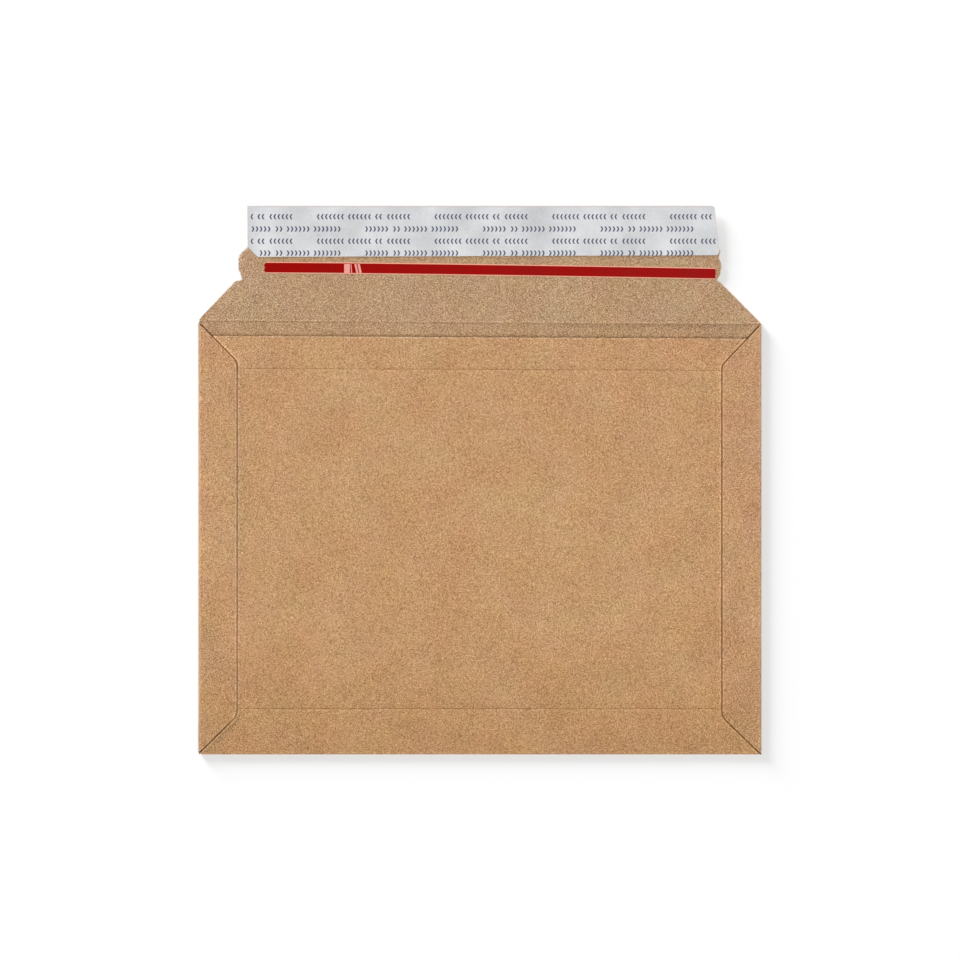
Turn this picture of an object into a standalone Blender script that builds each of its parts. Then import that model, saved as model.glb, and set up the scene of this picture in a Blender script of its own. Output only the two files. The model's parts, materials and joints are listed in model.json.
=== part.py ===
"""Flat board mailer for books: a folded and glued pocket, a closing flap that lies open,
a release liner over the seal and a tear tape. Lengths are in metres, +Z is up.
The mailer lies on its back, its front faces up and the flap points to +Y."""

import math

import bmesh
import bpy
from mathutils import Matrix, Vector

MM = 0.001

# Pocket
WIDTH = 235.0 * MM
POCKET_HEIGHT = 180.0 * MM
FLAP_LENGTH = 48.6 * MM
BOARD = 0.7 * MM
INNER_GAP = 0.6 * MM
SEAM_GAP = 0.2 * MM
MOUTH_DROP = 5.4 * MM
FRONT_PAST_FOLD = 0.1 * MM
FOLD_STEPS = 10

# Pressed lines that let the pocket fill out round a book
CREASE_FROM_SIDE = 19.0 * MM
CREASE_FROM_TOP = 19.2 * MM
CREASE_FROM_BOTTOM = 19.0 * MM
CREASE_HALF_WIDTH = 0.5 * MM
CREASE_DEPTH = 0.13 * MM

# Side flaps: how far they reach in over the front, and their mitred ends
LEFT_REACH = 16.2 * MM
RIGHT_REACH = 16.4 * MM
LEFT_TOP_SLOPE = 1.07
RIGHT_TOP_SLOPE = 1.03
BOTTOM_SLOPE = 0.97
TOP_CORNER_RADIUS = 3.5 * MM
BOTTOM_CORNER_RADIUS = 5.0 * MM
CORNER_RELIEF = 0.3 * MM
CORNER_BULGE = 1.1 * MM

# Closing flap: each corner is so far in from its side edge and up from the crease
HINGE_CLEARANCE = 0.3 * MM
FLAP_LIFT = math.radians(2.5)
FLAP_SIDE_INSET = 0.15 * MM
CLOSED_CLEARANCE = 0.3 * MM
LEFT_SHOULDER_IN = 16.3 * MM
RIGHT_SHOULDER_IN = 17.4 * MM
SHOULDER_UP = 17.4 * MM
LEFT_NECK_IN = 18.9 * MM
RIGHT_NECK_IN = 18.6 * MM
NECK_UP = 17.7 * MM
THUMB_TAB_IN = 16.7 * MM
THUMB_TAB_LOW = 22.3 * MM
THUMB_TAB_HIGH = 27.5 * MM
THUMB_TAB_TOP = 31.7 * MM
BUMP_IN = 16.8 * MM
BUMP_LOW = 21.3 * MM
BUMP_HIGH = 24.9 * MM
UPPER_NECK_IN = 18.2 * MM
UPPER_NECK_UP = 27.9 * MM
BAND_LEFT_IN = 20.7 * MM
BAND_RIGHT_IN = 17.4 * MM
BAND_RIGHT_UP = 30.1 * MM
BAND_END_RIGHT_IN = 19.5 * MM

# Films on the flap's inner face
FILM_GAP = 0.05 * MM
ADHESIVE = 0.1 * MM
LINER = 0.1 * MM
TAPE = 0.08 * MM
LINER_EDGE_INSET = 0.1 * MM
LINER_LEFT_DEPTH = 20.9 * MM
LINER_RIGHT_DEPTH = 20.2 * MM
LINER_CLIP = 3.8 * MM
ADHESIVE_INSET = 1.5 * MM
TAPE_WIDTH = 4.0 * MM
TAPE_LEFT_IN = 28.0 * MM
TAPE_RIGHT_IN = 19.4 * MM
TAPE_LEFT_FROM_END = 25.35 * MM
TAPE_RIGHT_FROM_END = 27.9 * MM
TAPE_TEAR = 0.7 * MM
TAPE_STEPS = 8

# Seam glue
GLUE_THICKNESS = 0.1 * MM
GLUE_WIDTH = 8.0 * MM
GLUE_FROM_ENDS = 25.0 * MM
GLUE_FROM_EDGE = 4.5 * MM

# Heights that follow from the layers
BACK_MID = BOARD / 2
FRONT_MID = BOARD + INNER_GAP + BOARD / 2
FRONT_TOP = FRONT_MID + BOARD / 2
SIDE_MID = FRONT_TOP + SEAM_GAP + BOARD / 2
BOTTOM_FOLD_RADIUS = (FRONT_MID - BACK_MID) / 2
SIDE_FOLD_RADIUS = (SIDE_MID - BACK_MID) / 2
BOTTOM_FOLD_REACH = BOTTOM_FOLD_RADIUS + BOARD / 2
SIDE_FOLD_REACH = SIDE_FOLD_RADIUS + BOARD / 2

# The closed flap's inner face clears the front by the films and a little air,
# so the hinge axis lies halfway between its flat and closed heights
FILM_STACK = FILM_GAP + ADHESIVE + FILM_GAP + LINER
CLOSED_INNER_FACE = FRONT_TOP + FILM_STACK + CLOSED_CLEARANCE
AXIS_Z = (BOARD + CLOSED_INNER_FACE) / 2

# Places on the plan, with the middle of the open mailer's box at the origin
FLAP_SHOWN = FLAP_LENGTH * math.cos(FLAP_LIFT) + AXIS_Z * math.sin(FLAP_LIFT)
BOTTOM = -(POCKET_HEIGHT + FLAP_SHOWN) / 2
CREASE_Y = BOTTOM + POCKET_HEIGHT
FLAP_END = CREASE_Y + FLAP_LENGTH
MOUTH_Y = CREASE_Y - MOUTH_DROP
SIDE_FOLD_X = WIDTH / 2 - SIDE_FOLD_REACH
FRONT_HALF_WIDTH = SIDE_FOLD_X + FRONT_PAST_FOLD
BOTTOM_FOLD_Y = BOTTOM + BOTTOM_FOLD_REACH
PANEL_TOP = CREASE_Y - HINGE_CLEARANCE / 2
FLAP_ROOT = CREASE_Y + HINGE_CLEARANCE / 2
CREASE_X = WIDTH / 2 - CREASE_FROM_SIDE
CREASE_ROWS = (BOTTOM + CREASE_FROM_BOTTOM, CREASE_Y - CREASE_FROM_TOP)


def clearScene():
    for obj in list(bpy.data.objects):
        bpy.data.objects.remove(obj, do_unlink=True)


def makeCollections():
    solids = bpy.data.collections.new("mailer")
    cutters = bpy.data.collections.new("cutters")
    bpy.context.scene.collection.children.link(solids)
    bpy.context.scene.collection.children.link(cutters)
    return solids


def makeMaterial(name, colour, roughness):
    material = bpy.data.materials.new(name)
    material.use_nodes = True
    shader = material.node_tree.nodes["Principled BSDF"]
    shader.inputs["Base Color"].default_value = (*colour, 1.0)
    shader.inputs["Roughness"].default_value = roughness
    return material


def addObject(name, mesh, material, collection):
    mesh.materials.append(material)
    obj = bpy.data.objects.new(name, mesh)
    collection.objects.link(obj)
    return obj


def lines(*groups):
    """All given positions in rising order, each once."""
    return sorted({round(value, 9) for group in groups for value in group})


def around(centre):
    return (centre - CREASE_HALF_WIDTH, centre, centre + CREASE_HALF_WIDTH)


def pressed(x, y):
    """Depth of the pressed lines at a point of a panel."""
    onColumn = any(abs(x - c) < 1e-7 for c in (-CREASE_X, CREASE_X))
    onRow = any(abs(y - c) < 1e-7 for c in CREASE_ROWS)
    return CREASE_DEPTH if onColumn or onRow else 0.0


def mitreEnd(depth, reach, slope, radius):
    """How far the end of a side flap has stepped in, depth metres in from the middle
    of its fold; the corner at its inner edge is rounded."""
    run = math.sqrt(1 + slope * slope)
    turn = reach - radius + radius * slope / run
    if depth <= turn:
        return slope * max(depth, 0.0)
    centre = slope * (reach - radius) + radius * run
    across = min(depth - (reach - radius), radius)
    return centre - math.sqrt(radius * radius - across * across)


def addGrid(mesh, points):
    """Quads between neighbouring rows of points; points is rows of vertices."""
    for lower, upper in zip(points, points[1:]):
        for a, b, c, d in zip(lower, lower[1:], upper[1:], upper):
            mesh.faces.new((a, b, c, d))


def makePocket(material, collection):
    """One sheet: back panel, bottom fold, front panel, and on each side a fold with
    its mitred flap. The middle of the board is drawn and then thickened."""
    sheet = bmesh.new()
    columns = lines(
        (-SIDE_FOLD_X, SIDE_FOLD_X),
        around(-CREASE_X),
        around(CREASE_X),
        [WIDTH * share for share in (-0.28, -0.14, 0.0, 0.14, 0.28)],
    )
    foldStart = BOTTOM_FOLD_Y + CORNER_RELIEF
    middles = [BOTTOM + POCKET_HEIGHT * share for share in (0.3, 0.5, 0.7)]
    backRows = lines(
        (BOTTOM_FOLD_Y, foldStart, MOUTH_Y, PANEL_TOP),
        around(CREASE_ROWS[0]),
        around(CREASE_ROWS[1]),
        middles,
    )
    back = [
        [sheet.verts.new((x, y, BACK_MID + pressed(x, y))) for x in columns]
        for y in backRows
    ]
    addGrid(sheet, back)

    # bottom fold and front panel; the end columns widen on the fold to fill the corner
    folded = [back[0]]
    for step in range(1, FOLD_STEPS + 1):
        angle = math.pi * step / FOLD_STEPS
        y = BOTTOM_FOLD_Y - BOTTOM_FOLD_RADIUS * math.sin(angle)
        z = BACK_MID + BOTTOM_FOLD_RADIUS * (1 - math.cos(angle))
        bulge = CORNER_BULGE * math.sin(angle) + CORNER_RELIEF * step / FOLD_STEPS
        row = []
        for x in columns:
            edge = abs(x) > SIDE_FOLD_X - 1e-7
            at = math.copysign(SIDE_FOLD_X + bulge, x) if edge else x
            row.append(sheet.verts.new((at, y, z - pressed(x, 1.0) * step / FOLD_STEPS)))
        folded.append(row)
    frontRows = lines(
        (foldStart, MOUTH_Y),
        around(CREASE_ROWS[0]),
        around(CREASE_ROWS[1]),
        middles,
    )
    for y in frontRows:
        row = []
        for x in columns:
            edge = abs(x) > SIDE_FOLD_X - 1e-7
            at = math.copysign(FRONT_HALF_WIDTH, x) if edge else x
            row.append(sheet.verts.new((at, y, FRONT_MID - pressed(x, y))))
        folded.append(row)
    addGrid(sheet, folded)

    # side folds and side flaps, from the back panel's side edges
    halfFold = SIDE_FOLD_RADIUS * math.pi / 2
    for side, reach, topSlope in (
        (-1, LEFT_REACH, LEFT_TOP_SLOPE),
        (1, RIGHT_REACH, RIGHT_TOP_SLOPE),
    ):
        edgeIndex = 0 if side < 0 else -1
        strip = [[row[edgeIndex] for row in back[1:]]]
        rows = backRows[1:]
        low = rows[0]
        high = rows[-1]
        flatReach = reach - SIDE_FOLD_REACH
        pattern = []
        for step in range(1, FOLD_STEPS + 1):
            angle = math.pi * step / FOLD_STEPS
            pattern.append(
                (
                    SIDE_FOLD_X + SIDE_FOLD_RADIUS * math.sin(angle),
                    BACK_MID + SIDE_FOLD_RADIUS * (1 - math.cos(angle)),
                    SIDE_FOLD_RADIUS * angle - halfFold,
                )
            )
        for share in (0.3, 0.55, 0.68, 0.76, 0.83, 0.89, 0.94, 0.975, 0.993, 1.0):
            along = flatReach * share
            pattern.append((SIDE_FOLD_X - along, SIDE_MID, halfFold + along))
        patternReach = halfFold + flatReach
        for x, z, depth in pattern:
            bottomEnd = low + mitreEnd(depth, patternReach, BOTTOM_SLOPE, BOTTOM_CORNER_RADIUS)
            topEnd = high - mitreEnd(depth, patternReach, topSlope, TOP_CORNER_RADIUS)
            column = []
            for y in rows:
                share = (y - low) / (high - low)
                column.append(
                    sheet.verts.new((side * x, bottomEnd + share * (topEnd - bottomEnd), z))
                )
            strip.append(column)
        addGrid(sheet, strip)

    bmesh.ops.recalc_face_normals(sheet, faces=sheet.faces)
    mesh = bpy.data.meshes.new("pocket")
    sheet.to_mesh(mesh)
    sheet.free()
    obj = addObject("pocket", mesh, material, collection)
    thick = obj.modifiers.new("board", "SOLIDIFY")
    thick.thickness = BOARD
    thick.offset = 0.0
    thick.use_even_offset = True
    bpy.context.view_layer.update()
    depsgraph = bpy.context.evaluated_depsgraph_get()
    board = bpy.data.meshes.new_from_object(obj.evaluated_get(depsgraph))
    obj.modifiers.clear()
    obj.data = board
    board.name = "pocket"
    bpy.data.meshes.remove(mesh)
    smoothFolds(board)
    return obj


def smoothFolds(mesh):
    """Folds and rounded corners shade smooth, cut edges stay crisp."""
    for face in mesh.polygons:
        face.use_smooth = True
    mesh.set_sharp_from_angle(angle=math.radians(35))


def rounded(outline, steps=6):
    """Points of an outline whose corners are x, y and radius: a corner with a radius
    becomes an arc."""
    points = []
    count = len(outline)
    for index, (x, y, radius) in enumerate(outline):
        here = Vector((x, y))
        if radius <= 0:
            points.append(here)
            continue
        before = Vector(outline[index - 1][:2]) - here
        after = Vector(outline[(index + 1) % count][:2]) - here
        half = before.angle(after) / 2
        tangent = min(radius / math.tan(half), before.length * 0.45, after.length * 0.45)
        fitted = tangent * math.tan(half)
        centre = here + (before.normalized() + after.normalized()).normalized() * (
            fitted / math.sin(half)
        )
        start = here + before.normalized() * tangent - centre
        end = here + after.normalized() * tangent - centre
        turn = start.angle_signed(end)
        for step in range(steps + 1):
            angle = -turn * step / steps
            cos = math.cos(angle)
            sin = math.sin(angle)
            points.append(
                centre + Vector((start.x * cos - start.y * sin, start.x * sin + start.y * cos))
            )
    return points


def lift(body):
    """Turns a piece of the flap up from flat, as a creased flap springs open a little."""
    hinge = Vector((0.0, CREASE_Y, AXIS_Z))
    bmesh.ops.rotate(
        body, verts=body.verts, cent=hinge, matrix=Matrix.Rotation(FLAP_LIFT, 3, "X")
    )


def makeSheet(name, points, bottom, thickness, material, collection):
    """A piece of the flap or a film on it, cut to an outline."""
    curve = bpy.data.curves.new(name, "CURVE")
    curve.dimensions = "2D"
    curve.fill_mode = "BOTH"
    curve.extrude = thickness / 2
    spline = curve.splines.new("POLY")
    spline.points.add(len(points) - 1)
    for slot, point in zip(spline.points, points):
        slot.co = (point.x, point.y, 0.0, 1.0)
    spline.use_cyclic_u = True
    source = bpy.data.objects.new(name + "_outline", curve)
    bpy.context.scene.collection.objects.link(source)
    bpy.context.view_layer.update()
    depsgraph = bpy.context.evaluated_depsgraph_get()
    mesh = bpy.data.meshes.new_from_object(source.evaluated_get(depsgraph))
    bpy.data.objects.remove(source, do_unlink=True)
    body = bmesh.new()
    body.from_mesh(mesh)
    bmesh.ops.remove_doubles(body, verts=body.verts, dist=0.001 * MM)
    bmesh.ops.translate(body, verts=body.verts, vec=(0, 0, bottom + thickness / 2))
    lift(body)
    bmesh.ops.recalc_face_normals(body, faces=body.faces)
    body.to_mesh(mesh)
    body.free()
    mesh.name = name
    mesh.materials.clear()
    smoothFolds(mesh)
    return addObject(name, mesh, material, collection)


def fromLeft(distance):
    return -WIDTH / 2 + distance


def fromRight(distance):
    return WIDTH / 2 - distance


def makeFlap(material, collection):
    """Clockwise from the left end of the crease: sloping side, neck, thumb tab and seal
    band, then down the right side past a small bump."""
    outline = [
        (fromLeft(FLAP_SIDE_INSET), FLAP_ROOT, 0.0),
        (fromLeft(LEFT_SHOULDER_IN), CREASE_Y + SHOULDER_UP, 0.8 * MM),
        (fromLeft(LEFT_NECK_IN), CREASE_Y + NECK_UP, 0.5 * MM),
        (fromLeft(THUMB_TAB_IN), CREASE_Y + THUMB_TAB_LOW, 3.0 * MM),
        (fromLeft(THUMB_TAB_IN), CREASE_Y + THUMB_TAB_HIGH, 2.6 * MM),
        (fromLeft(BAND_LEFT_IN), CREASE_Y + THUMB_TAB_TOP, 0.5 * MM),
        (fromLeft(BAND_LEFT_IN), FLAP_END, 0.4 * MM),
        (fromRight(BAND_END_RIGHT_IN), FLAP_END, 0.4 * MM),
        (fromRight(BAND_RIGHT_IN), CREASE_Y + BAND_RIGHT_UP, 0.6 * MM),
        (fromRight(UPPER_NECK_IN), CREASE_Y + UPPER_NECK_UP, 1.5 * MM),
        (fromRight(BUMP_IN), CREASE_Y + BUMP_HIGH, 1.0 * MM),
        (fromRight(BUMP_IN), CREASE_Y + BUMP_LOW, 2.5 * MM),
        (fromRight(RIGHT_NECK_IN), CREASE_Y + NECK_UP, 0.4 * MM),
        (fromRight(RIGHT_SHOULDER_IN), CREASE_Y + SHOULDER_UP, 0.6 * MM),
        (fromRight(FLAP_SIDE_INSET), FLAP_ROOT, 0.0),
    ]
    return makeSheet("closing_flap", rounded(outline), 0.0, BOARD, material, collection)


def bandOutline(inset):
    """Outline of the seal band, set in from the flap's edges and the liner's lower edge."""
    left = fromLeft(BAND_LEFT_IN) + inset
    end = FLAP_END - inset
    lowLeft = FLAP_END - LINER_LEFT_DEPTH + inset - LINER_EDGE_INSET
    lowRight = FLAP_END - LINER_RIGHT_DEPTH + inset - LINER_EDGE_INSET
    return [
        (left, lowLeft + LINER_CLIP, 0.3 * MM),
        (left, end, 0.4 * MM),
        (fromRight(BAND_END_RIGHT_IN) - inset, end, 0.4 * MM),
        (fromRight(BAND_RIGHT_IN) - inset, CREASE_Y + BAND_RIGHT_UP, 0.6 * MM),
        (fromRight(UPPER_NECK_IN) - inset, lowRight, 0.6 * MM),
        (left + LINER_CLIP, lowLeft, 0.3 * MM),
    ]


def tapeOutline():
    """The tape droops a little to the right, and its ends are torn."""
    start = fromLeft(TAPE_LEFT_IN)
    end = fromRight(TAPE_RIGHT_IN)
    upper = []
    lower = []
    for step in range(TAPE_STEPS + 1):
        share = step / TAPE_STEPS
        x = start + share * (end - start)
        droop = (TAPE_RIGHT_FROM_END - TAPE_LEFT_FROM_END) * share**1.35
        middle = FLAP_END - TAPE_LEFT_FROM_END - droop
        upper.append((x, middle + TAPE_WIDTH / 2, 0.0))
        lower.append((x, middle - TAPE_WIDTH / 2, 0.0))
    leftMiddle = FLAP_END - TAPE_LEFT_FROM_END
    rightMiddle = FLAP_END - TAPE_RIGHT_FROM_END
    rightEnd = [
        (end + TAPE_TEAR * 0.6, rightMiddle + TAPE_WIDTH * 0.1, 0.0),
        (end + TAPE_TEAR * 0.3, rightMiddle - TAPE_WIDTH * 0.2, 0.0),
    ]
    leftEnd = [
        (start - TAPE_TEAR * 1.2, leftMiddle - TAPE_WIDTH * 0.3, 0.0),
        (start - TAPE_TEAR * 0.4, leftMiddle, 0.0),
        (start - TAPE_TEAR * 1.1, leftMiddle + TAPE_WIDTH * 0.2, 0.0),
    ]
    return upper + rightEnd + lower[::-1] + leftEnd


def makeFilms(adhesive, liner, tape, collection):
    linerBottom = BOARD + FILM_GAP + ADHESIVE + FILM_GAP
    linerPoints = rounded(bandOutline(LINER_EDGE_INSET))
    adhesivePoints = rounded(bandOutline(ADHESIVE_INSET))
    tapePoints = rounded(tapeOutline())
    return [
        makeSheet("release_liner", linerPoints, linerBottom, LINER, liner, collection),
        makeSheet("seal_adhesive", adhesivePoints, BOARD + FILM_GAP, ADHESIVE, adhesive, collection),
        makeSheet("tear_tape", tapePoints, BOARD + FILM_GAP, TAPE, tape, collection),
    ]


def makeGlue(name, centreX, material, collection):
    body = bmesh.new()
    bmesh.ops.create_cube(body, size=1.0)
    length = POCKET_HEIGHT - 2 * GLUE_FROM_ENDS
    bmesh.ops.scale(body, verts=body.verts, vec=(GLUE_WIDTH, length, GLUE_THICKNESS))
    middle = (BOTTOM + CREASE_Y) / 2
    height = (FRONT_TOP + SIDE_MID - BOARD / 2) / 2
    bmesh.ops.translate(body, verts=body.verts, vec=(centreX, middle, height))
    mesh = bpy.data.meshes.new(name)
    body.to_mesh(mesh)
    body.free()
    return addObject(name, mesh, material, collection)


def build():
    clearScene()
    solids = makeCollections()
    kraft = makeMaterial("kraft_board", (0.53, 0.32, 0.16), 0.85)
    inside = makeMaterial("board_inside", (0.48, 0.31, 0.18), 0.85)
    paper = makeMaterial("release_paper", (0.69, 0.70, 0.72), 0.45)
    glue = makeMaterial("clear_adhesive", (0.75, 0.70, 0.55), 0.3)
    film = makeMaterial("red_film", (0.35, 0.01, 0.005), 0.3)

    makePocket(kraft, solids)
    flap = makeFlap(inside, solids)
    films = makeFilms(glue, paper, film, solids)
    centre = WIDTH / 2 - GLUE_FROM_EDGE - GLUE_WIDTH / 2
    makeGlue("left_seam_glue", -centre, glue, solids)
    makeGlue("right_seam_glue", centre, glue, solids)

    pivot = bpy.data.objects.new("flap_hinge", None)
    pivot.location = (0.0, CREASE_Y, AXIS_Z)
    solids.objects.link(pivot)
    bpy.context.view_layer.update()
    for piece in [flap, *films]:
        piece.parent = pivot
        piece.matrix_parent_inverse = pivot.matrix_world.inverted()


build()
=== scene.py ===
import json
import math
from functools import partial
import bmesh
import bpy
from mathutils import Matrix, Vector
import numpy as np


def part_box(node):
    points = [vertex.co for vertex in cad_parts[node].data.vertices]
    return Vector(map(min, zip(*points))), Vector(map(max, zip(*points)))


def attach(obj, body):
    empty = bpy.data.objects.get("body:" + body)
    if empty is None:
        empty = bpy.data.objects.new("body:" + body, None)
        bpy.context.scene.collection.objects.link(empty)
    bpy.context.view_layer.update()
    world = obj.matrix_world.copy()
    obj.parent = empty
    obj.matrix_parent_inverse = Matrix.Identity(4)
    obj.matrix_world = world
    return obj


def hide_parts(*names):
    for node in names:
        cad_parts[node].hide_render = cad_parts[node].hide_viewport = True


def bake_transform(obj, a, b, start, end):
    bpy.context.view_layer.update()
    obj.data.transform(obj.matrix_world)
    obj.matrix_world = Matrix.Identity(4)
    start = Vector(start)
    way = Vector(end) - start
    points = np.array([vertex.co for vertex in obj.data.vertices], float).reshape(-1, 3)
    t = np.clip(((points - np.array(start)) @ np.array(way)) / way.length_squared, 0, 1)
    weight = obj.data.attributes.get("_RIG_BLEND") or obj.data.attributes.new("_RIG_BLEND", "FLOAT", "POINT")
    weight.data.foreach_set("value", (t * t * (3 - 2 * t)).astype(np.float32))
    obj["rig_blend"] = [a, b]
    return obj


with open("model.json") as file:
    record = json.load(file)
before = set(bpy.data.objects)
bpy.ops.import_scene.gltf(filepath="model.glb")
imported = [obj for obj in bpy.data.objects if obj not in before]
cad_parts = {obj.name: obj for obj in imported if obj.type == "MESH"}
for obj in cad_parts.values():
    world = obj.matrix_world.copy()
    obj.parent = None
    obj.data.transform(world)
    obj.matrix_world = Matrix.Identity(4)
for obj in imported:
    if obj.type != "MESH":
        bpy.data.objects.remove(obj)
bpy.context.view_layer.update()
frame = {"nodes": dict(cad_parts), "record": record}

mm = 0.001
hinge = Vector(frame["record"]["behaviour"]["joints"][0]["pos_m"])
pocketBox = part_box("pocket")
flapLift = math.radians(2.5)  # the open flap springs up this much from flat
print("stage 1: frame loaded, crease at", round(hinge.y / mm, 2), "mm")


# Tools for materials

def hexColour(text):
    # sRGB hex to linear
    parts = [int(text[i:i + 2], 16) / 255 for i in (0, 2, 4)]
    return tuple(c / 12.92 if c <= 0.04045 else ((c + 0.055) / 1.055) ** 2.4 for c in parts) + (1.0,)


def setInputs(node, inputs):
    # by socket name or number: a value, a socket, or a node that stands for its first output
    for name, value in inputs.items():
        if isinstance(value, bpy.types.Node):
            value = value.outputs[0]
        if isinstance(value, bpy.types.NodeSocket):
            node.id_data.links.new(value, node.inputs[name])
        else:
            node.inputs[name].default_value = value


def addNode(tree, kind, *inputs, **settings):
    # the inputs fill the sockets in their order, or one dictionary names them
    node = tree.nodes.new("ShaderNode" + kind)
    for name, value in settings.items():
        setattr(node, name, value)
    named = inputs and isinstance(inputs[0], dict)
    setInputs(node, inputs[0] if named else dict(enumerate(inputs)))
    return node


def newMaterial(name):
    material = bpy.data.materials.new(name)
    material.use_nodes = True
    tree = material.node_tree
    return material, partial(addNode, tree), tree.nodes["Principled BSDF"]


# Tools for meshes

def smoothStep(t):
    t = min(max(t, 0.0), 1.0)
    return t * t * (3 - 2 * t)


def onFlap(x, y, height, share=1.0):
    # where a point of the flat blank, in millimetres, lies once that share of the lift is made
    flat = Vector((x, y, height)) * mm
    return Matrix.Rotation(flapLift * share, 3, "X") @ (flat - hinge) + hinge


def finishMesh(bm, name, *materials):
    mesh = bpy.data.meshes.new(name)
    bm.to_mesh(mesh)
    bm.free()
    for material in materials:
        mesh.materials.append(material)
    piece = bpy.data.objects.new(name, mesh)
    bpy.context.scene.collection.objects.link(piece)
    return piece


def addPlate(bm, corners, low, high):
    # a flat plate on the flap, between two heights over the floor in millimetres
    bottom = [bm.verts.new(onFlap(x, y, low)) for x, y in corners]
    top = [bm.verts.new(onFlap(x, y, high)) for x, y in corners]
    bm.faces.new(top)
    bm.faces.new(bottom[::-1])
    for i in range(len(corners)):
        j = (i + 1) % len(corners)
        bm.faces.new((bottom[i], bottom[j], top[j], top[i]))


def finishPlates(bm, name, material):
    bmesh.ops.recalc_face_normals(bm, faces=bm.faces)
    piece = finishMesh(bm, name, material)
    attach(piece, "flap")


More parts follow.
